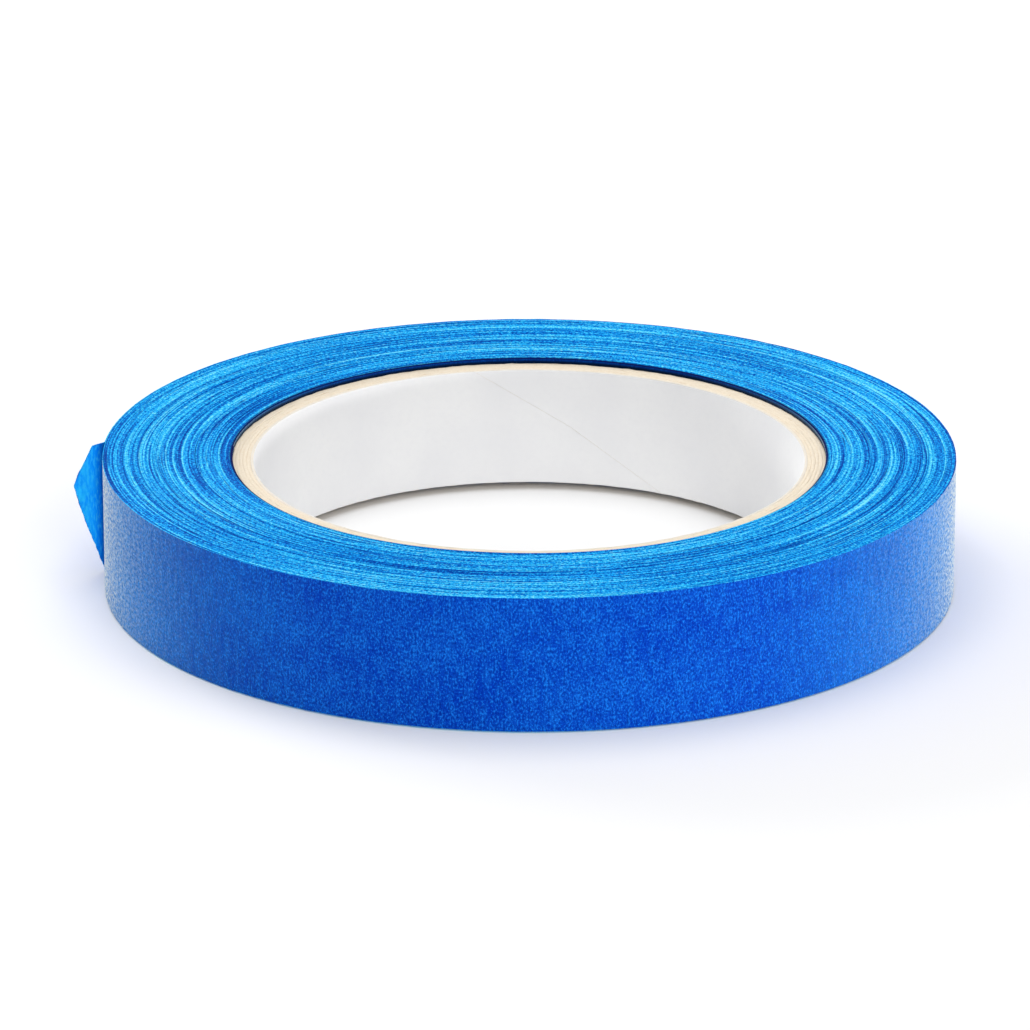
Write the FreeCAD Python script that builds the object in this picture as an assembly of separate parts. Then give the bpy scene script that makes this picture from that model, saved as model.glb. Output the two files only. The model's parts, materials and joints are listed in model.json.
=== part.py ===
import FreeCAD, Part
import math
import os

# A roll of blue crepe-paper masking tape on a spiral-wound paper core, lying flat.
# Millimetres. The origin is the centre of the core's bore at half the tape's width, and +Z is the roll's axis.
# Seen from above, the tape is wound counter-clockwise towards its free end.

# Core: a tube of glued paper plies, a little shorter than the tape is wide.
CORE_BORE_R = 38.1
LINER_T = 0.4
PLY_T = 0.52
PLY_COUNT = 5
CORE_LENGTH = 17.0
CORE_R = CORE_BORE_R + LINER_T + PLY_COUNT * PLY_T

# Each ply is a helical strip whose edges meet at a slanting butt seam. The seams are staggered from ply to ply.
SEAM_GAP = 0.12
SEAM_LEAN = 32.0
LINER_SEAM_ANGLE = 81.0
SEAM_STAGGER = 130.0

# Tape: one strip wound in a spiral. Each lap takes up the backing and a thin film of glue.
TAPE_WIDTH = 18.7
BACKING_T = 0.12
GLUE_T = 0.02
LAP_PITCH = BACKING_T + GLUE_T
LAPS = 128
ROLL_R = CORE_R + LAPS * LAP_PITCH

# The last quarter turn is loose enough to peel. It is split into short links, because paper tape bends everywhere.
END_ANGLE = 176.0
PEEL_ARC = 90.0
LINK_COUNT = 6
LINK_ARC = PEEL_ARC / LINK_COUNT
LINK_GAP = 0.02

# Free end: a torn, slightly pointed flap that stands off the roll.
TAB_LIFT = 35.0
TAB_REACH_TOP = 2.6
TAB_REACH_TIP = 6.3
TAB_REACH_BOTTOM = 0.6
TAB_TIP_HEIGHT = 3.9

FULL_TURN = 360.0
POINTS_PER_TURN = 48
SEAM_CUTTER_LENGTH = 60.0
SEAM_CUTTER_DEPTH = 16.0

BOTTOM = FreeCAD.Vector(0, 0, -TAPE_WIDTH / 2)
UP = FreeCAD.Vector(0, 0, 1)


def tube(inner_r, outer_r, length):
    """A plain tube about Z, centred on the origin."""
    base = FreeCAD.Vector(0, 0, -length / 2)
    return Part.makeCylinder(outer_r, length, base).cut(Part.makeCylinder(inner_r, length, base))


def seam_cutter(angle, wall_r):
    """A thin slab through one side of a tube. It leans from the tube's circumference by SEAM_LEAN."""
    slab = Part.makeBox(SEAM_CUTTER_DEPTH, SEAM_CUTTER_LENGTH, SEAM_GAP)
    slab.translate(FreeCAD.Vector(wall_r - SEAM_CUTTER_DEPTH / 2, -SEAM_CUTTER_LENGTH / 2, -SEAM_GAP / 2))
    slab.rotate(FreeCAD.Vector(), FreeCAD.Vector(1, 0, 0), SEAM_LEAN)
    slab.rotate(FreeCAD.Vector(), UP, angle)
    return slab


def core_ply(index):
    """Ply number index of the core, counted outwards. Ply 0 is the liner."""
    inner_r = CORE_BORE_R + (LINER_T + (index - 1) * PLY_T if index else 0)
    outer_r = inner_r + (PLY_T if index else LINER_T)
    angle = LINER_SEAM_ANGLE + index * SEAM_STAGGER
    return tube(inner_r, outer_r, CORE_LENGTH).cut(seam_cutter(angle, inner_r))


def tape_point(back, depth=0.0):
    """A point on the tape's bottom edge, back degrees along the winding from the free end and depth under its outer face."""
    r = ROLL_R - LAP_PITCH * back / FULL_TURN - depth
    a = math.radians(END_ANGLE - back)
    return FreeCAD.Vector(r * math.cos(a), r * math.sin(a), 0) + BOTTOM


def spiral_edge(back_from, back_to, depth=0.0):
    """The tape's edge between two places along the winding, as one smooth curve."""
    steps = max(4, round(abs(back_to - back_from) / FULL_TURN * POINTS_PER_TURN))
    curve = Part.BSplineCurve()
    curve.interpolate([
        tape_point(back_from + (back_to - back_from) * i / steps, depth) for i in range(steps + 1)
    ])
    return curve.toShape()


def strip_of_tape(back_from, back_to):
    """One length of backing, as it lies on the lap beneath it."""
    outline = Part.Wire([
        spiral_edge(back_from, back_to),
        Part.makeLine(tape_point(back_to), tape_point(back_to, BACKING_T)),
        spiral_edge(back_to, back_from, BACKING_T),
        Part.makeLine(tape_point(back_from, BACKING_T), tape_point(back_from)),
    ])
    return Part.Face(outline).extrude(UP * TAPE_WIDTH)


def wound_tape():
    """Every lap but the last, pressed into one pack. Its outside is a one-lap spiral with a step where the lap ends."""
    first, last = FULL_TURN, 2 * FULL_TURN
    outline = Part.Wire([
        spiral_edge(first, last),
        Part.makeLine(tape_point(last), tape_point(first)),
    ])
    pack = Part.Face(outline).extrude(UP * TAPE_WIDTH)
    return pack.cut(Part.makeCylinder(CORE_R, TAPE_WIDTH, BOTTOM))


def tail_link(index):
    """Link number index of the loose quarter turn, counted from the peel line to the free end."""
    start = PEEL_ARC - index * LINK_ARC
    gap = math.degrees(LINK_GAP / ROLL_R)
    return strip_of_tape(start - gap, start - LINK_ARC)


def end_tab():
    """The torn end of the tape, standing TAB_LIFT off the roll about its crease at the last link."""
    half = TAPE_WIDTH / 2
    outline = [
        (LINK_GAP, -half), (TAB_REACH_BOTTOM, -half), (TAB_REACH_TIP, TAB_TIP_HEIGHT),
        (TAB_REACH_TOP, half), (LINK_GAP, half),
    ]
    corners = [FreeCAD.Vector(reach, 0, height) for reach, height in outline]
    tab = Part.Face(Part.makePolygon(corners + corners[:1])).extrude(FreeCAD.Vector(0, BACKING_T, 0))
    tab.rotate(FreeCAD.Vector(), UP, END_ANGLE + 90.0 - TAB_LIFT)
    tab.translate(tape_point(0) - BOTTOM)
    return tab


def build():
    """Every sub-part by name."""
    parts = {"core_liner": core_ply(0)}
    for index in range(1, PLY_COUNT + 1):
        parts[f"core_ply_{index}"] = core_ply(index)
    parts["wound_tape"] = wound_tape()
    parts["outer_lap"] = strip_of_tape(PEEL_ARC, FULL_TURN)
    for index in range(LINK_COUNT):
        parts[f"tape_tail_{index + 1}"] = tail_link(index)
    parts["end_tab"] = end_tab()
    return parts


os.makedirs("parts", exist_ok=True)
for name, shape in build().items():
    shape.exportStep(f"parts/{name}.step")
    print(name, len(shape.Solids), round(shape.Volume, 2), shape.isValid())
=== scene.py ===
import json
import math

import bpy
import numpy as np
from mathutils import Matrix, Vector


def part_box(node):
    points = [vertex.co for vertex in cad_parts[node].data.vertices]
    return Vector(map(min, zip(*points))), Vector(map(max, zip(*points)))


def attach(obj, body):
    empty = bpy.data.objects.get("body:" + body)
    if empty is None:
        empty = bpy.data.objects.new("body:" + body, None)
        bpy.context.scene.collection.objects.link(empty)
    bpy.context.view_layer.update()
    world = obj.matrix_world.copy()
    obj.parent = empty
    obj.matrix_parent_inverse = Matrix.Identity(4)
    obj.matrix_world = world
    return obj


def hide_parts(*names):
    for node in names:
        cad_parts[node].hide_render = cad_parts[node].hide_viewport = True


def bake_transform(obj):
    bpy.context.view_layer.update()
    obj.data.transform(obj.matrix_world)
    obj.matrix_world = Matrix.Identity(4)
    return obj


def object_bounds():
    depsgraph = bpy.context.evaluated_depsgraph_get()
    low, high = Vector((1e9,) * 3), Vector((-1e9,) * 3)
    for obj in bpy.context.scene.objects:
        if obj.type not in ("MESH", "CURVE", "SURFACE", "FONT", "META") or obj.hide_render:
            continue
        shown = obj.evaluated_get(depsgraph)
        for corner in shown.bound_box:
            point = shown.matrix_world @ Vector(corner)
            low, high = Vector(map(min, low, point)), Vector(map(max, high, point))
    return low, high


# A roll of blue crepe-paper masking tape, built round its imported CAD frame.
# Metres, with +Z along the roll's axis. The tape is one strip: a place on it is "back" degrees along the
# winding from the free end, and a height z.
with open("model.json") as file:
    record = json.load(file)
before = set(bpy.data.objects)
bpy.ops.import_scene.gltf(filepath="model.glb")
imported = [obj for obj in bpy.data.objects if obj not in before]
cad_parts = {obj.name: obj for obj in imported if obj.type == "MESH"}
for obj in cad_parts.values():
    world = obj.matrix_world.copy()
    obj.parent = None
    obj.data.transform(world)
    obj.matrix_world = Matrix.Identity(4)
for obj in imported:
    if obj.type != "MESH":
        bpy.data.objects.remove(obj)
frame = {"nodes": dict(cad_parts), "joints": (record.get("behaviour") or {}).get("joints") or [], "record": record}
CAD_LOW, CAD_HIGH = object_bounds()
MM = 0.001
FULL_TURN = 360.0


def joint_named(name):
    """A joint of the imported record."""
    return next(joint for joint in frame["joints"] if joint["name"] == name)


def joint_on_roll(name):
    """A joint's distance from the roll's axis, and its direction in degrees."""
    x, y, _ = joint_named(name)["pos_m"]
    return math.hypot(x, y), math.degrees(math.atan2(y, x))


def node_radius(node):
    """The outer radius of a round CAD node."""
    low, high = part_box(node)
    return max(-low.x, -low.y, high.x, high.y)


# Sizes that the frame holds
PLIES = sorted(node for node in frame["nodes"] if node.startswith("core_ply_"))
LINKS = sorted(node for node in frame["nodes"] if node.startswith("tape_tail_"))
BORE_R = frame["record"]["mounts"][0]["dims"]["r_mm"] * MM
LINER_R = node_radius("core_liner")
CORE_R = node_radius(PLIES[-1])
CORE_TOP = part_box("core_liner")[1].z
TAPE_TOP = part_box("wound_tape")[1].z
ROLL_R, END_ANGLE = joint_on_roll("tab_fold")
PEEL_ARC = END_ANGLE - joint_on_roll("tail_peel")[1]
LINK_ARC = PEEL_ARC / len(LINKS)
TAB_LIFT = math.radians(-joint_named("tab_fold")["range_deg"][0])

# Laps: the backing, and a film of glue under it
LAPS = 128
LAP_PITCH = (ROLL_R - CORE_R) / LAPS
BACKING_SHARE = 6 / 7
BACKING_T = LAP_PITCH * BACKING_SHARE

# Mesh density: columns in a turn of the pack and of the core, and the tape's columns and rows
PACK_COLUMNS = 180
CORE_COLUMNS = 240
STRIP_STEP = 0.19 * MM
STRIP_ROWS = 25

# Crepe wrinkles: a cell is a length along the tape and one across it. The margin is room for the torn end.
CREPE_HEIGHT = 0.030 * MM
CREPE_CELL = (0.42 * MM, 1.5 * MM)
CREPE_MARGIN = 40

# How far the edges of the last lap and the tail wander
EDGE_WANDER = 0.02 * MM
EDGE_CELL = 2.2 * MM

# Flat face, in mm: how unevenly the laps stand, the grooves between them, and the dip of the innermost
LAP_UNEVEN = 0.022
LAP_FINE = 0.006
LAP_BANDS = 0.05
GROOVE = 0.045
GROOVE_UNEVEN = 0.02
GROOVE_OPEN = 0.6
CORE_DIP = 0.22
DIP_LAPS = 1.6

# Tail: the degrees that the bend at the peel line takes up, and the share of a joint's turn that is left
# over half way along a link
PEEL_SPLIT = math.degrees(2.5 * MM / ROLL_R)
LEFT_OVER = 0.25

# Torn end: its reach in mm at heights from -1 to 1, the ripples of its torn edge in mm, the swell and curl
# of its turn out, and its buckles
TAB_HEIGHTS = (-1.0, 0.31, 0.47, 1.0)
TAB_REACH = (0.6, 5.7, 6.2, 2.6)
TAB_COLUMNS = 30
TAB_ROWS = 60
TORN_COARSE = 0.06
TORN_FINE = 0.03
CREASE = 0.5 * MM
SWELL = 2.4 * MM
SWELL_TURN = math.radians(9.0)
CURL = 0.06 / MM
CURL_FROM = 3.5 * MM
BUCKLE = 0.35 * MM
BUCKLE_CELL = 2.6 * MM
BUCKLE_GROWTH = 4.0 * MM

# Core: each ply's slanting seam, and its bevelled, uneven cut edges
SEAM_LEAN = math.radians(32.0)
SEAM_ANGLE = 81.0
SEAM_STAGGER = 130.0
SEAM_GAP = 0.03 * MM
BEVEL = 0.04 * MM
CUT_UNEVEN = 0.05 * MM
PLY_DROP = 0.02 * MM

# Colours, linear
BLUE = (0.0002, 0.036, 0.46)
PALE_BLUE = (0.010, 0.215, 0.84)
# Wall of the recess down to the core: darker copies of the backing's blues, painted shade
SHADED_INNER_BLUE = (0.0003, 0.030, 0.30)
SHADED_INNER_PALE = (0.002, 0.090, 0.52)
# Painted sheen at grazing angles: a paler blue, and a pale grey on the crests
SHEEN_BLUE = (0.02, 0.47, 0.62)
SHEEN_PALE = (0.74, 0.76, 0.68)
# Painted shade in thin lines where laps part
GAP_SHADE_BLUE = (0.0004, 0.045, 0.36)
EDGE_TONES = (
    (0.0, (0.0004, 0.045, 0.34)),
    (0.30, (0.001, 0.16, 0.64)),
    (0.52, (0.003, 0.37, 0.90)),
    (0.80, (0.04, 0.66, 1.0)),
    (1.0, (0.22, 0.80, 1.0)),
)

# Camera and stage
VIEW_DISTANCE = 1.036
VIEW_ELEVATION = math.radians(19.07)
VIEW_LENS = 262.0
SENSOR = 36.0
FLOOR_HALF = 6.0
FLOOR_GAP = 0.2 * MM
FLOOR_CLEAR = 1.0 * MM
SURROUND = 0.54
LAMPS = {  # place, width and height, power
    "overhead": ((0.0, 0.12, 0.95), (0.8, 0.8), 4.2),
    "front": ((0.38, -1.05, 0.65), (0.5, 0.5), 3.3),
    "right": ((0.95, -0.40, 0.022), (0.6, 0.05), 5.2),
    "left_back": ((-0.66, 0.70, 0.30), (0.5, 0.4), 4.8),
}

rng = np.random.default_rng(4117)


# ---------------------------------------------------------------- noise
def lattice(columns, rows=1):
    """Random numbers from -1 to 1 on a grid."""
    return rng.uniform(-1.0, 1.0, (columns + 3, rows + 3))


def noise(grid, x, y=0.0):
    """Smooth noise, read from a lattice at x and y in cells."""
    x, y = np.broadcast_arrays(np.asarray(x, float), np.asarray(y, float))
    x = np.clip(x, 0, grid.shape[0] - 2.001)
    y = np.clip(y, 0, grid.shape[1] - 2.001)
    i, j = x.astype(int), y.astype(int)
    s, t = x - i, y - j
    s, t = s * s * (3 - 2 * s), t * t * (3 - 2 * t)
    low = grid[i, j] * (1 - s) + grid[i + 1, j] * s
    high = grid[i, j + 1] * (1 - s) + grid[i + 1, j + 1] * s
    return low * (1 - t) + high * t


# Each lattice is a little larger than what is read from it.
LAP_LENGTH = 2 * math.pi * ROLL_R
CREPE_COARSE = lattice(int(LAP_LENGTH / CREPE_CELL[0]) + 2 * CREPE_MARGIN, 16)
CREPE_FINE = lattice(int(2 * LAP_LENGTH / CREPE_CELL[0]) + 4 * CREPE_MARGIN, 30)
STRIP_EDGE = lattice(int(LAP_LENGTH / EDGE_CELL) + 20, 3)


def crepe(along, z):
    """The wrinkles' height: narrow along the tape, long across it."""
    x = along / CREPE_CELL[0] + CREPE_MARGIN
    y = (z + TAPE_TOP) / CREPE_CELL[1]
    return CREPE_HEIGHT * (0.7 * noise(CREPE_COARSE, x, y) + 0.3 * noise(CREPE_FINE, 2 * x, 2 * y))


# ---------------------------------------------------------------- mesh helpers
def grid_faces(columns, rows, start=0, flip=False):
    """Quads of a grid whose points run row by row inside each column."""
    i, j = np.meshgrid(np.arange(columns - 1), np.arange(rows - 1), indexing="ij")
    a = (start + i * rows + j).ravel()
    quads = np.stack([a, a + rows, a + rows + 1, a + 1], axis=1)
    return quads[:, ::-1] if flip else quads


def seams(mesh, slots):
    """Which edges have a different material on either side. slots is each face's material."""
    edges = np.empty(len(mesh.loops), np.int32)
    mesh.loops.foreach_get("edge_index", edges)
    corners = np.empty(len(mesh.polygons), np.int32)
    mesh.polygons.foreach_get("loop_total", corners)
    materials = np.repeat(slots, corners)
    lowest = np.full(len(mesh.edges), slots.max())
    highest = np.zeros(len(mesh.edges), int)
    np.minimum.at(lowest, edges, materials)
    np.maximum.at(highest, edges, materials)
    return lowest != highest


def make_object(name, points, groups, strip=None, sharp=40.0):
    """A mesh object from points and (faces, material) groups. strip is each point's place on the tape
    in mm, for the shader. Edges are sharp where they turn by more than sharp degrees, or where two
    materials meet."""
    mesh = bpy.data.meshes.new(name)
    faces = [face for quads, _ in groups for face in np.asarray(quads).tolist()]
    mesh.from_pydata(np.asarray(points).tolist(), [], faces)
    slots = np.concatenate([np.full(len(quads), k, np.int32) for k, (quads, _) in enumerate(groups)])
    for _, material in groups:
        mesh.materials.append(material)
    mesh.polygons.foreach_set("material_index", slots)
    mesh.polygons.foreach_set("use_smooth", np.ones(len(slots), bool))
    if strip is not None:
        place = mesh.attributes.new("strip", "FLOAT_VECTOR", "POINT")
        place.data.foreach_set("vector", np.asarray(strip, np.float32).ravel())
    mesh.update()
    mesh.set_sharp_from_angle(angle=math.radians(sharp))
    creases = np.empty(len(mesh.edges), bool)
    mesh.edges.foreach_get("use_edge_sharp", creases)
    mesh.edges.foreach_set("use_edge_sharp", creases | seams(mesh, slots))
    obj = bpy.data.objects.new(name, mesh)
    bpy.context.scene.collection.objects.link(obj)
    return obj


# ---------------------------------------------------------------- shader helpers
class Shader:
    """A node material under construction."""

    def __init__(self, name):
        self.material = bpy.data.materials.new(name)
        self.material.use_nodes = True
        self.tree = self.material.node_tree
        self.surface = self.tree.nodes["Principled BSDF"]

    def add(self, kind, settings=None, **inputs):
        """A node with its settings and inputs filled in. An input is called by its name, or by its
        number as _0 or _1, and can be a value or another node's output."""
        node = self.tree.nodes.new(kind)
        for key, value in (settings or {}).items():
            setattr(node, key, value)
        for key, value in inputs.items():
            self.feed(node.inputs[int(key[1:]) if key[1:].isdigit() else key.replace("_", " ")], value)
        return node

    def feed(self, socket, value):
        """Fill in an input with a value, or link another node's output to it."""
        if isinstance(value, bpy.types.NodeSocket):
            self.tree.links.new(value, socket)
        else:
            socket.default_value = value

    def place(self):
        """The shader's place on the tape: mm along it, mm across it, mm in from the outside."""
        return self.add("ShaderNodeAttribute", {"attribute_name": "strip"}).outputs["Vector"]

    def here(self):
        """The place in the object's frame, in mm."""
        where = self.add("ShaderNodeTexCoord").outputs["Object"]
        return self.scaled(where, (1 / MM,) * 3)

    def scaled(self, vector, factors):
        """A vector with each of its numbers multiplied by its own factor."""
        return self.add("ShaderNodeVectorMath", {"operation": "MULTIPLY"}, _0=vector, _1=factors).outputs[0]

    def noise(self, vector, detail=2.0, roughness=0.5):
        """Noise with one cell to each unit of the vector."""
        settings = {"Vector": vector, "Scale": 1.0, "Detail": detail, "Roughness": roughness}
        return self.add("ShaderNodeTexNoise", **settings).outputs["Fac"]

    def span(self, value, low, high, to_low=0.0, to_high=1.0):
        """The value's place between low and high, spread from to_low to to_high."""
        limits = {"From_Min": low, "From_Max": high, "To_Min": to_low, "To_Max": to_high}
        return self.add("ShaderNodeMapRange", {"clamp": True}, Value=value, **limits).outputs["Result"]

    def maths(self, operation, a, b=0.0, c=0.0):
        """The result of one sum on up to three numbers."""
        return self.add("ShaderNodeMath", {"operation": operation}, _0=a, _1=b, _2=c).outputs[0]

    def blend(self, *parts):
        """A tone round 0.5 from several noises, each with its own weight."""
        tone = 0.5 - sum(weight for _, weight in parts) / 2
        for noise_value, weight in parts:
            tone = self.maths("MULTIPLY_ADD", noise_value, weight, tone)
        return tone

    def ramp(self, tone, *stops):
        """A colour that follows the tone through stops, each a place from 0 to 1 and a colour."""
        node = self.add("ShaderNodeValToRGB", Fac=tone)
        elements = node.color_ramp.elements
        for element, (place, colour) in zip(elements, (stops[0], stops[-1])):
            element.position, element.color = place, (*colour, 1.0)
        for place, colour in stops[1:-1]:
            elements.new(place).color = (*colour, 1.0)
        return node.outputs["Color"]

    def mix(self, factor, a, b):
        """Colour a, turning into colour b as factor goes from 0 to 1."""
        node = self.add("ShaderNodeMix", {"data_type": "RGBA"})
        for socket, value in ((node.inputs[0], factor), (node.inputs[6], a), (node.inputs[7], b)):
            self.feed(socket, value if isinstance(value, (float, bpy.types.NodeSocket)) else (*value, 1.0))
        return node.outputs[2]

    def bump(self, height, distance, strength=1.0):
        """The surface's direction under a relief that is distance high."""
        bump = self.add("ShaderNodeBump", Height=height, Distance=distance, Strength=strength)
        return bump.outputs["Normal"]

    def past_crease(self, strip):
        """How far a place lies past the torn end's crease, in mm."""
        along = self.add("ShaderNodeSeparateXYZ", Vector=strip).outputs["X"]
        return self.maths("MULTIPLY", along, -1.0)

    def see_through(self, colour, share):
        """Let a share of the light pass through thin paper."""
        glow = self.add("ShaderNodeBsdfTranslucent", Color=colour).outputs[0]
        both = self.add("ShaderNodeMixShader", _0=share, _1=self.surface.outputs[0], _2=glow).outputs[0]
        self.feed(self.tree.nodes["Material Output"].inputs["Surface"], both)

    def finish(self, **inputs):
        """Fill in the surface's own inputs."""
        for key, value in inputs.items():
            self.feed(self.surface.inputs[key.replace("_", " ")], value)
        return self.material


# ---------------------------------------------------------------- materials
def backing_material(name, blue, pale, glow=0.0, shaded_recess=False):
    """Blue crepe paper: fine wrinkles across the tape, pale specks on their crests that are partly the
    paper's tone and partly painted highlight, painted shade in the hollows between them, and at grazing
    angles a paler blue and a pale painted sheen. Each noise has its cells per mm along the tape, across it
    and inwards. glow is the share of light that passes through past the crease. The face of a recess gets
    painted shade below its rims, where it goes down to the core."""
    s = Shader(name)
    strip = s.place()
    fine = s.noise(s.scaled(strip, (3.9, 2.4, 1.0)), detail=3.0, roughness=0.68)
    broad = s.noise(s.scaled(strip, (1.0, 0.36, 1.0)), detail=2.0)
    blotch = s.noise(s.scaled(strip, (0.06, 0.09, 1.0)), detail=3.0)
    colour = s.mix(s.span(blotch, 0.35, 0.65, 0.0, 0.15), blue, pale)
    colour = s.mix(s.span(broad, 0.42, 0.65, 0.0, 0.16), colour, pale)
    flecks_and_highlights = s.blend((fine, 1.0), (broad, 0.12), (blotch, 0.08))
    # Pale specks on the wrinkles' crests are partly the paper's tone and partly painted highlight; the darker blue
    # in the hollows is painted shade.
    colour = s.mix(s.span(flecks_and_highlights, 0.515, 0.65), colour, pale)
    colour = s.mix(s.span(fine, 0.48, 0.35, 0.0, 0.75), colour, tuple(c * 0.45 for c in blue))
    # Painted sheen: the blue turns paler and greener towards grazing angles.
    facing = s.add("ShaderNodeLayerWeight", Blend=0.5).outputs["Facing"]
    colour = s.mix(s.span(facing, 0.20, 0.75, 0.0, 0.26), colour, SHEEN_BLUE)
    # Painted sheen: a pale grey at grazing angles, strongest on the crests.
    mottle = s.noise(s.scaled(strip, (1.5, 2.2, 1.0)), detail=3.0, roughness=0.7)
    crests = s.blend((fine, 0.5), (mottle, 1.0))
    painted_sheen = s.maths("MULTIPLY", s.maths("POWER", facing, 5.0), s.span(crests, 0.40, 0.62, 0.0, 1.75))
    colour = s.mix(painted_sheen, colour, SHEEN_PALE)
    relief = s.maths("ADD", fine, s.maths("MULTIPLY", mottle, 0.8))
    normal = s.bump(relief, 0.11 * MM, 1.0)
    # Painted shade below the rims of the recess, darker further down towards the core.
    if shaded_recess:
        height = s.maths("ABSOLUTE", s.add("ShaderNodeSeparateXYZ", Vector=strip).outputs["Y"])
        recess_shade = s.span(height, TAPE_TOP / MM - 0.15, TAPE_TOP / MM - 0.60)
        colour = s.mix(recess_shade, colour, (0.0003, 0.003, 0.03))
    if glow:
        lit = s.mix(s.span(fine, 0.4, 0.6), (0.06, 0.55, 1.0), (0.18, 0.78, 1.0))
        s.see_through(lit, s.span(s.past_crease(strip), 0.2, 2.4, 0.0, glow))
    shine = {"Specular_IOR_Level": 0.14, "Specular_Tint": (0.02, 0.75, 1.0, 1.0)}
    sheen = {"Sheen_Weight": 0.16, "Sheen_Roughness": 0.35, "Sheen_Tint": (0.55, 0.80, 1.0, 1.0)}
    return s.finish(Base_Color=colour, Roughness=0.7, Normal=normal, **shine, **sheen)


def edge_material():
    """The laps' cut edges: paler than the backing, in concentric lines, with painted shade where laps
    part and next to the core.
    """
    s = Shader("tape_edge")
    where = s.here()
    flat = s.scaled(where, (1.0, 1.0, 0.0))
    radius = s.add("ShaderNodeVectorMath", {"operation": "LENGTH"}, _0=flat).outputs["Value"]
    heading = s.add("ShaderNodeVectorMath", {"operation": "NORMALIZE"}, _0=flat).outputs[0]

    def rings(per_mm, around, detail=1.0):
        """Concentric noise: cells per mm of radius, and how fast it changes around the roll."""
        drift = s.scaled(heading, (around,) * 3)
        inward = s.add("ShaderNodeCombineXYZ", Z=s.maths("MULTIPLY", radius, per_mm)).outputs[0]
        both = s.add("ShaderNodeVectorMath", {"operation": "ADD"}, _0=drift, _1=inward).outputs[0]
        return s.noise(both, detail)

    grain = s.noise(s.scaled(where, (2.7, 2.7, 2.7)), detail=3.0, roughness=0.8)
    laps = rings(7.0, 1.2)
    broad_bands = (rings(0.20, 0.7), 0.35), (rings(0.9, 0.8), 0.25)
    fine_bands = (rings(2.1, 1.0), 0.4), (rings(3.7, 1.5), 1.5)
    tone = s.blend(*broad_bands, *fine_bands, (laps, 1.0), (grain, 2.6))
    colour = s.ramp(tone, *EDGE_TONES)
    # Painted shade in thin lines along the rings, where laps part.
    shaded_gaps = s.maths("ABSOLUTE", s.maths("SUBTRACT", rings(1.6, 0.8, 2.0), 0.5))
    colour = s.mix(s.span(shaded_gaps, 0.020, 0.0, 0.0, 0.90), colour, GAP_SHADE_BLUE)
    # Painted shade next to the core, where the innermost laps dip into the recess.
    core_r = CORE_R / MM
    colour = s.mix(s.span(radius, core_r + 0.45, core_r + 0.10), colour, (0.0003, 0.006, 0.08))
    relief = s.maths("ADD", laps, s.maths("MULTIPLY", grain, 0.7))
    normal = s.bump(relief, 0.10 * MM, 0.9)
    return s.finish(Base_Color=colour, Roughness=0.8, Specular_IOR_Level=0.05, Normal=normal)


def adhesive_material():
    """The sticky side: smoother and paler than the backing, with painted shade just past the crease.
    Past the crease, light shines through.
    """
    s = Shader("tape_adhesive")
    strip = s.place()
    ripple = s.noise(s.scaled(strip, (2.4, 0.9, 1.0)), detail=3.0)
    streak = s.noise(s.scaled(strip, (0.45, 0.35, 1.0)), detail=3.0)
    past_crease = s.past_crease(strip)
    colour = s.mix(s.span(ripple, 0.35, 0.65), (0.002, 0.22, 0.84), (0.006, 0.36, 0.95))
    colour = s.mix(s.span(streak, 0.42, 0.64, 0.0, 0.3), colour, (0.02, 0.55, 1.0))
    # Painted shade in the crevice just past the crease.
    shade = s.maths("MULTIPLY", s.span(past_crease, 0.1, 0.4), s.span(past_crease, 2.0, 0.8))
    colour = s.mix(s.maths("MULTIPLY", shade, 0.35), colour, (0.0005, 0.03, 0.36))
    # The colour that light takes through the paper pales towards the tip: painted highlight.
    through = s.mix(s.span(past_crease, 1.5, 4.5), (0.010, 0.42, 1.0), (0.16, 0.80, 1.0))
    through = s.mix(s.span(streak, 0.44, 0.60, 0.0, 0.6), through, (0.012, 0.40, 0.98))
    through = s.mix(s.span(ripple, 0.46, 0.62, 0.0, 0.5), through, (0.30, 0.90, 1.0))
    s.see_through(through, s.span(past_crease, 0.2, 1.4, 0.0, 0.75))
    normal = s.bump(ripple, 0.05 * MM, 0.8)
    return s.finish(Base_Color=colour, Roughness=0.42, Specular_IOR_Level=0.2, Normal=normal)


def liner_material():
    """Smooth white liner paper, faintly clouded and fibrous."""
    s = Shader("core_liner")
    where = s.here()
    fibre = s.noise(s.scaled(where, (1.2, 1.2, 1.2)), detail=4.0, roughness=0.65)
    cloud = s.noise(s.scaled(where, (0.08, 0.08, 0.08)), detail=2.0)
    colour = s.mix(s.span(cloud, 0.35, 0.65), (0.86, 0.86, 0.87), (0.90, 0.90, 0.90))
    colour = s.mix(s.span(fibre, 0.45, 0.75, 0.0, 0.30), colour, (0.82, 0.82, 0.84))
    normal = s.bump(fibre, 0.015 * MM, 0.4)
    return s.finish(Base_Color=colour, Roughness=0.75, Specular_IOR_Level=0.25, Normal=normal)


def board_material(name, light, dark):
    """Paperboard: tan, fibrous, with darker specks."""
    s = Shader(name)
    where = s.here()
    fibre = s.noise(s.scaled(where, (3.0, 3.0, 9.0)), detail=4.0, roughness=0.7)
    specks = s.noise(s.scaled(where, (6.0, 6.0, 6.0)), detail=1.0)
    colour = s.mix(s.span(fibre, 0.3, 0.7), dark, light)
    colour = s.mix(s.span(specks, 0.68, 0.76, 0.0, 0.4), colour, tuple(c * 0.6 for c in dark))
    normal = s.bump(fibre, 0.05 * MM, 0.7)
    return s.finish(Base_Color=colour, Roughness=0.9, Specular_IOR_Level=0.1, Normal=normal)


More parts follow.
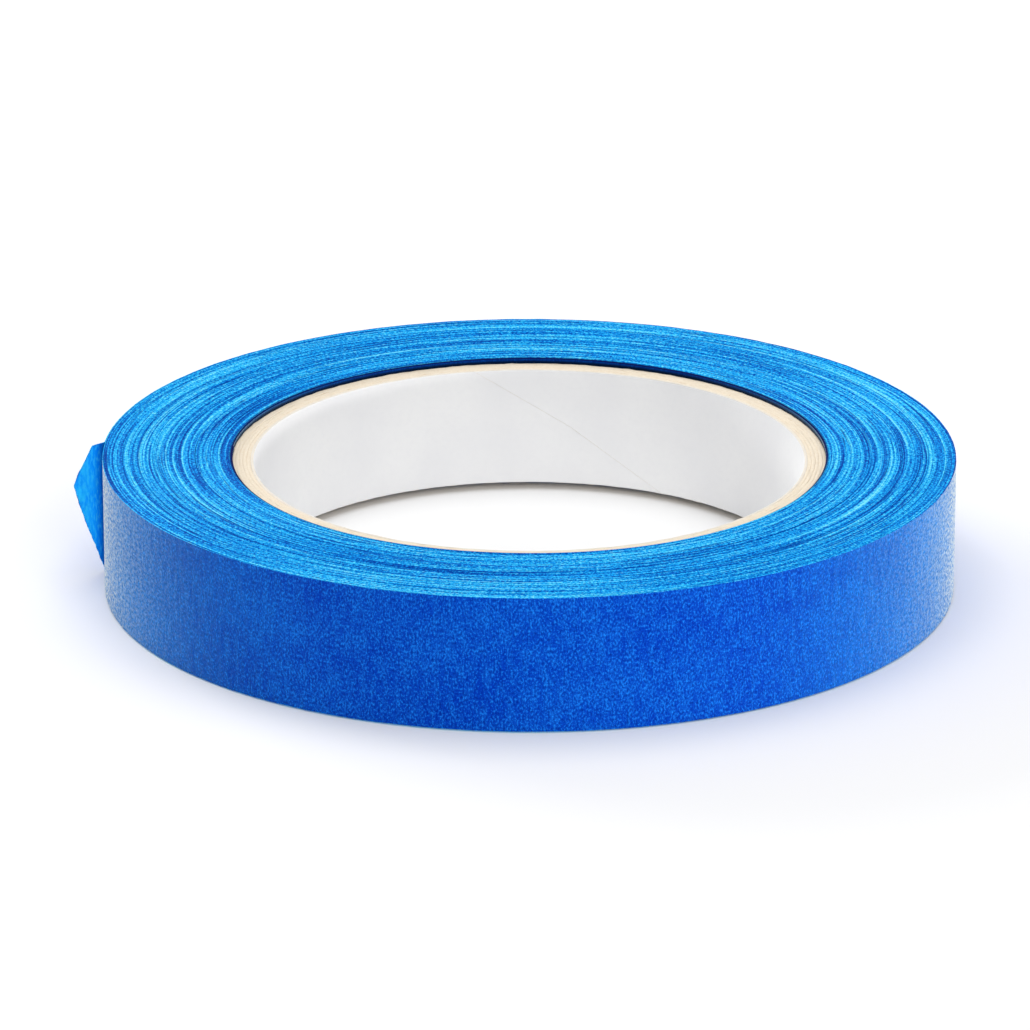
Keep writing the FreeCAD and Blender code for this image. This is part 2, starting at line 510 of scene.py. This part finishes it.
BACKING = backing_material("tape_backing", BLUE, PALE_BLUE)
LOOSE = backing_material("tape_backing_loose", BLUE, PALE_BLUE, glow=0.75)
INNER = backing_material("tape_inner_shaded", SHADED_INNER_BLUE, SHADED_INNER_PALE, shaded_recess=True)
EDGE = edge_material()
ADHESIVE = adhesive_material()
LINER = liner_material()
BOARD = board_material("core_board", (0.80, 0.66, 0.48), (0.62, 0.47, 0.31))
BOARD_CUT = board_material("core_board_cut", (0.88, 0.79, 0.66), (0.80, 0.69, 0.53))
LINER_CUT = board_material("core_liner_cut", (0.84, 0.79, 0.71), (0.78, 0.71, 0.61))


# ---------------------------------------------------------------- tape
def strip_radius(back):
    """The radius of the tape's outer face."""
    return ROLL_R - LAP_PITCH * back / FULL_TURN


def strip_angle(back):
    """The direction of a place on the tape, in radians."""
    return np.radians(END_ANGLE - back)


def strip_length(back):
    """Metres along the tape from the free end."""
    return np.radians(back) * ROLL_R


def closed_sheet(name, sheets, place, face, flip=False):
    """A thin closed piece of tape from its outer and inner faces, each a grid of points. flip turns
    every face over, for a grid whose columns run the other way."""
    columns, rows = sheets[0].shape[:2]
    size = columns * rows
    bands = []
    for row, turned in ((0, flip), (rows - 1, not flip)):
        a = np.arange(columns - 1) * rows + row
        quads = np.stack([a, a + size, a + size + rows, a + rows], axis=1)
        bands.append(quads[:, ::-1] if turned else quads)
    for column, turned in ((0, not flip), (columns - 1, flip)):
        a = column * rows + np.arange(rows - 1)
        quads = np.stack([a, a + size, a + size + 1, a + 1], axis=1)
        bands.append(quads[:, ::-1] if turned else quads)
    faces = [
        (grid_faces(columns, rows, 0, not flip), face),
        (grid_faces(columns, rows, size, flip), ADHESIVE),
        (np.concatenate(bands), EDGE),
    ]
    points = np.concatenate([sheet.reshape(-1, 3) for sheet in sheets])
    return make_object(name, points, faces, np.concatenate([place.reshape(-1, 3)] * 2))


def tape_strip(name, back_from, back_to):
    """A closed length of tape lying on the roll, from nearer the free end to further back."""
    columns = max(8, round(strip_length(abs(back_to - back_from)) / STRIP_STEP)) + 1
    back = np.linspace(back_from, back_to, columns)[:, None]
    across = np.linspace(-1.0, 1.0, STRIP_ROWS + 1)[None, :]
    along = strip_length(back)
    low, high = (side * TAPE_TOP + EDGE_WANDER * noise(STRIP_EDGE, along / EDGE_CELL + 2, row)
                 for row, side in enumerate((-1, 1)))
    z = low + (high - low) * (across + 1) / 2
    angle = strip_angle(back)
    outer = strip_radius(back) + crepe(along, z)
    inner = strip_radius(back) - BACKING_T + 0 * z
    sheets = [np.stack([r * np.cos(angle), r * np.sin(angle), z], axis=-1) for r in (outer, inner)]
    return closed_sheet(name, sheets, np.stack([along / MM + 0 * z, z / MM, 0 * z], axis=-1), BACKING)


def lap_heights(count):
    """How far each place along the wound strip's edge stands above the flat face: (crests, grooves).
    Each noise is read at its own number of cells per turn."""
    turn = np.arange(count) / PACK_COLUMNS
    east, north = np.cos(2 * math.pi * turn), np.sin(2 * math.pi * turn)
    own = noise(lattice(LAPS * 2), turn * 1.7)
    fine = noise(lattice(LAPS * 24), turn * 21.0)
    bands = noise(lattice(LAPS, 8), turn * 0.36 + 0.6 * east + 2, 4 + 1.6 * north)
    drift = noise(lattice(LAPS, 8), turn * 0.09 + 0.4 * north + 2, 4 + 1.6 * east)
    inner_dip = np.exp((turn - (LAPS - 1)) / DIP_LAPS)
    crest = LAP_UNEVEN * own + LAP_FINE * fine + LAP_BANDS * (bands + drift) - CORE_DIP * inner_dip
    open_lap = GROOVE_OPEN * np.clip(noise(lattice(LAPS * 2), turn * 1.3) - 0.6, 0, 1)
    depth = GROOVE + GROOVE_UNEVEN * noise(lattice(LAPS * 2), turn * 1.9) + open_lap
    return crest * MM, (crest - depth) * MM


def wound_pack():
    """Every lap but the last, as one spiral. Each lap's edge is a crest, with a groove inside it."""
    count = PACK_COLUMNS * (LAPS - 1) + 1
    step = np.arange(count) / PACK_COLUMNS
    back = FULL_TURN * (1 + step)
    angle = strip_angle(back)
    points, place, faces = [], [], []

    def ring_points(radius, z, steps, turn_angle):
        """Add a line of points along the winding, and give the number of its first one."""
        first = sum(len(p) for p in points)
        points.append(np.stack([radius * np.cos(turn_angle), radius * np.sin(turn_angle), z], axis=1))
        along = strip_length(FULL_TURN * (1 + steps))
        place.append(np.stack([along / MM, z / MM, (ROLL_R - radius) / MM], axis=1))
        return first

    rim, crest, groove = {}, {}, {}
    middle_r = strip_radius(back) - LAP_PITCH / 2
    inner_r = strip_radius(back) - LAP_PITCH
    first_lap = slice(0, PACK_COLUMNS)
    for side in (1, -1):
        up, down = lap_heights(count)
        rim[side] = ring_points(strip_radius(back)[first_lap], side * (TAPE_TOP + down[first_lap]),
                                step[first_lap], angle[first_lap])
        crest[side] = ring_points(middle_r, side * (TAPE_TOP + up), step, angle)
        groove[side] = ring_points(inner_r, side * (TAPE_TOP + down), step, angle)

    i = np.arange(count - 1)

    def outside(side, k):
        """The groove or rim on the outer side of step k."""
        return np.where(k < PACK_COLUMNS, rim[side] + k, groove[side] + k - PACK_COLUMNS)

    for side in (1, -1):
        lines = [
            (outside(side, i), outside(side, i + 1)),
            (crest[side] + i, crest[side] + i + 1),
            (groove[side] + i, groove[side] + i + 1),
        ]
        for near, far in zip(lines, lines[1:]):
            quads = np.stack([near[0], near[1], far[1], far[0]], axis=1)
            faces.append(quads if side > 0 else quads[:, ::-1])
    flat_faces = np.concatenate(faces)

    k = np.arange(PACK_COLUMNS)
    outer_wall = np.stack([outside(1, k), outside(-1, k), outside(-1, k + 1), outside(1, k + 1)], axis=1)
    m = np.arange(count - 1 - PACK_COLUMNS, count - 1)
    inner_wall = np.stack([groove[1] + m, groove[1] + m + 1, groove[-1] + m + 1, groove[-1] + m], axis=1)

    def step_face(k, flip):
        """The end of the pack's outer or inner lap, as two quads."""
        o1, o2 = int(outside(1, np.array(k))), int(outside(-1, np.array(k)))
        c1, c2, g1, g2 = crest[1] + k, crest[-1] + k, groove[1] + k, groove[-1] + k
        quads = [[o1, c1, c2, o2], [c1, g1, g2, c2]]
        return [q[::-1] for q in quads] if flip else quads

    last = count - 1
    ends = np.array(step_face(0, False) + step_face(last, True))
    outside_faces = np.concatenate([outer_wall, ends])
    groups = [(flat_faces, EDGE), (outside_faces, BACKING), (inner_wall, INNER)]
    return make_object("wound_laps", np.concatenate(points), groups, np.concatenate(place), sharp=60.0)


# ---------------------------------------------------------------- torn end
def free_end():
    """The torn end: a flap that turns out from the roll at its crease, longest above the middle."""
    heights = np.linspace(-1.0, 1.0, TAB_ROWS + 1)
    torn = noise(lattice(80), (heights + 1) * 14) * TORN_COARSE
    torn += noise(lattice(200), (heights + 1) * 55) * TORN_FINE
    reach = (np.interp(heights, TAB_HEIGHTS, TAB_REACH) + torn) * MM
    share = np.linspace(0.0, 1.0, TAB_COLUMNS + 1)[:, None]
    along = share * reach[None, :]
    z = heights[None, :] * TAPE_TOP + 0 * share
    turned = np.clip(along / CREASE, 0, 1)
    swell = np.sin(math.pi * np.clip(along / SWELL, 0, 1)) ** 2
    curl = CURL * np.clip(along - CURL_FROM, 0, None)
    turn = TAB_LIFT * turned * turned * (3 - 2 * turned) + SWELL_TURN * swell + curl
    step = np.diff(along, axis=0, prepend=along[:1])
    forward = np.cumsum(step * np.cos(turn), axis=0)[..., None]
    out = np.cumsum(step * np.sin(turn), axis=0)[..., None]
    angle = strip_angle(0.0)
    outward = np.array([math.cos(angle), math.sin(angle), 0.0])
    ahead = np.array([-math.sin(angle), math.cos(angle), 0.0])
    start = outward * ROLL_R
    normal = np.cos(turn)[..., None] * outward - np.sin(turn)[..., None] * ahead
    middle = start + forward * ahead + out * outward + z[..., None] * np.array([0.0, 0.0, 1.0])
    waves = noise(lattice(12, 12), along / BUCKLE_CELL, (z + TAPE_TOP) / BUCKLE_CELL)
    buckle = BUCKLE * np.clip(along / BUCKLE_GROWTH, 0, 1) ** 2 * (1 + waves) / 2
    middle = middle + buckle[..., None] * normal
    sheets = middle + crepe(-along, z)[..., None] * normal, middle - BACKING_T * normal
    place = np.stack([-along / MM, z / MM, 0 * z], axis=-1)
    tab = closed_sheet("torn_end", sheets, place, LOOSE, flip=True)
    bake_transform(tab)
    return tab


# ---------------------------------------------------------------- core
def ply_tube(name, index, inner_r, outer_r, skin, cut, drop):
    """One ply of the core: a strip whose ends meet at a slanting seam, with softly uneven cut edges.
    skin is the material of its bore, and cut that of the rest. Its rims lie drop below the core's."""
    middle_r = inner_r + (outer_r - inner_r) * 0.5
    top = CORE_TOP - drop
    hold = 3 * BEVEL
    profile = [  # radius and height: up the bore, over the top, down the outside and under the bottom
        (inner_r, -top + BEVEL), (inner_r, -top + hold), (inner_r, 0.0), (inner_r, top - hold),
        (inner_r, top - BEVEL), (inner_r + BEVEL, top), (middle_r, top), (outer_r - BEVEL, top),
        (outer_r, top - BEVEL), (outer_r, 0.0), (outer_r, -top + BEVEL), (outer_r - BEVEL, -top),
        (middle_r, -top), (inner_r + BEVEL, -top),
    ]
    rows = len(profile)
    radius, z = np.array(profile).T[:, None, :]
    share = np.linspace(0.0, 1.0, CORE_COLUMNS + 1)[:, None]
    gap = SEAM_GAP / math.sin(SEAM_LEAN) / inner_r
    seam = math.radians(SEAM_ANGLE + index * SEAM_STAGGER)
    lean = np.arcsin(z / (inner_r * math.tan(SEAM_LEAN)))
    angle = seam + lean + gap / 2 + share * (2 * math.pi - gap)
    rim_zone = 1.5 * BEVEL
    rim_part = np.clip((np.abs(z) - (top - rim_zone)) / rim_zone, 0, 1)
    rough = noise(lattice(CORE_COLUMNS * 2, rows), share * CORE_COLUMNS * 1.7, np.arange(rows)[None, :])
    z = z + np.sign(z) * rim_part * rough * CUT_UNEVEN
    radius = radius + 0 * share
    points = np.stack([radius * np.cos(angle), radius * np.sin(angle), z + 0 * share], axis=-1)
    i, j = np.meshgrid(np.arange(CORE_COLUMNS), np.arange(rows), indexing="ij")
    a, b = i * rows + j, i * rows + (j + 1) % rows
    quads = np.stack([a, a + rows, b + rows, b], axis=-1)
    bore_side = quads[:, :4].reshape(-1, 4)
    others = quads[:, 4:].reshape(-1, 4)
    ends = [list(range(rows))[::-1], list(range(CORE_COLUMNS * rows, (CORE_COLUMNS + 1) * rows))]
    groups = [(bore_side[:, ::-1], skin), (others[:, ::-1], cut), (ends, cut)]
    return make_object(name, points.reshape(-1, 3), groups, sharp=50.0)


def core():
    """The liner, and the plies glued round it."""
    liner = ply_tube("liner_paper", 0, BORE_R, LINER_R, LINER, LINER_CUT, 0.0)
    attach(liner, "roll")
    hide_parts("core_liner")
    inner_r = LINER_R
    for index, node in enumerate(PLIES, start=1):
        outer_r = node_radius(node)
        drop = PLY_DROP * (index % 2)
        ply = ply_tube(f"board_ply_{index}", index, inner_r, outer_r, BOARD, BOARD_CUT, drop)
        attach(ply, "roll")
        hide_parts(node)
        inner_r = outer_r


# ---------------------------------------------------------------- tail
def reach(joint, back):
    """How far a place on the tape lies ahead of a joint, along the roll's tangent there."""
    return ROLL_R * math.sin(math.radians(joint - back))


def tail():
    """The loose quarter turn: one strip for each joint. The first is the short bend at the peel line.
    The others meet half way along the links."""
    joints = [PEEL_ARC - index * LINK_ARC for index in range(len(LINKS))]
    middles = [joint - LINK_ARC / 2 for joint in joints[1:-1]]
    splits = [PEEL_ARC, PEEL_ARC - PEEL_SPLIT, *middles, 0.0]
    made = 1 - LEFT_OVER
    shares = [(0.0, 1.0), (0.0, made), *[(LEFT_OVER, made)] * (len(LINKS) - 3), (LEFT_OVER, 1.0)]
    for index, (node, joint, share) in enumerate(zip(LINKS, joints, shares)):
        near, far = splits[index], splits[index + 1]
        piece = tape_strip(f"tail_strip_{index + 1}", far, near)
        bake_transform(piece)
        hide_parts(node)


def tape():
    """The wound laps, the last lap, the tail and the torn end."""
    pack = wound_pack()
    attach(pack, "roll")
    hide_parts("wound_tape")
    lap = tape_strip("last_lap", PEEL_ARC, FULL_TURN)
    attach(lap, "roll")
    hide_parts("outer_lap")
    tail()
    tab = free_end()
    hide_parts("end_tab")


# ---------------------------------------------------------------- stage
def floor():
    """A pale floor, clear from beneath and to what rests on it, so that the underside gets light."""
    s = Shader("studio_floor")
    plain = s.add("ShaderNodeBsdfDiffuse", Color=(0.95, 0.95, 0.95, 1.0)).outputs[0]
    clear = s.add("ShaderNodeBsdfTransparent").outputs[0]
    back = s.add("ShaderNodeNewGeometry").outputs["Backfacing"]
    distance = s.add("ShaderNodeLightPath").outputs["Ray Length"]
    touching = s.maths("LESS_THAN", distance, FLOOR_CLEAR)
    unseen = s.maths("MAXIMUM", back, touching)
    both = s.add("ShaderNodeMixShader", _0=unseen, _1=plain, _2=clear).outputs[0]
    s.feed(s.tree.nodes["Material Output"].inputs["Surface"], both)
    half, z = FLOOR_HALF, CAD_LOW.z - FLOOR_GAP
    corners = [(-half, -half, z), (half, -half, z), (half, half, z), (-half, half, z)]
    mesh = bpy.data.meshes.new("studio_floor")
    mesh.from_pydata(corners, [], [(0, 1, 2, 3)])
    mesh.materials.append(s.material)
    obj = bpy.data.objects.new("studio_floor", mesh)
    bpy.context.scene.collection.objects.link(obj)


def lamp(name, place, size, power):
    """A soft light of a given width and height, aimed at the roll."""
    light = bpy.data.lights.new(name, "AREA")
    light.shape = "RECTANGLE"
    light.size, light.size_y = size
    light.energy = power
    obj = bpy.data.objects.new(name, light)
    obj.location = place
    obj.rotation_euler = (-Vector(place)).to_track_quat("-Z", "Y").to_euler()
    bpy.context.scene.collection.objects.link(obj)


def studio():
    """Soft light from above, the front, the low right and the left behind, in a white surround."""
    world = bpy.data.worlds.new("studio")
    world.use_nodes = True
    background = world.node_tree.nodes["Background"]
    background.inputs["Color"].default_value = (1.0, 1.0, 1.0, 1.0)
    background.inputs["Strength"].default_value = SURROUND
    bpy.context.scene.world = world
    for name, (place, size, power) in LAMPS.items():
        lamp(name, place, size, power)
    bpy.context.scene.view_settings.view_transform = "Standard"


def camera():
    """The photographer's view of the roll: from the front, a little above."""
    data = bpy.data.cameras.new("view")
    data.lens, data.sensor_width = VIEW_LENS, SENSOR
    data.clip_start, data.clip_end = 0.05, 20.0
    obj = bpy.data.objects.new("view", data)
    top_centre = Vector((0.0, 0.0, TAPE_TOP))
    back = Vector((0.0, -math.cos(VIEW_ELEVATION), math.sin(VIEW_ELEVATION)))
    obj.location = top_centre + back * VIEW_DISTANCE
    target = Vector(((CAD_LOW.x + CAD_HIGH.x) / 2, 0.0, 0.0))
    obj.rotation_euler = (target - obj.location).to_track_quat("-Z", "Y").to_euler()
    bpy.context.scene.collection.objects.link(obj)
    bpy.context.scene.camera = obj


core()
tape()
floor()
studio()
camera()
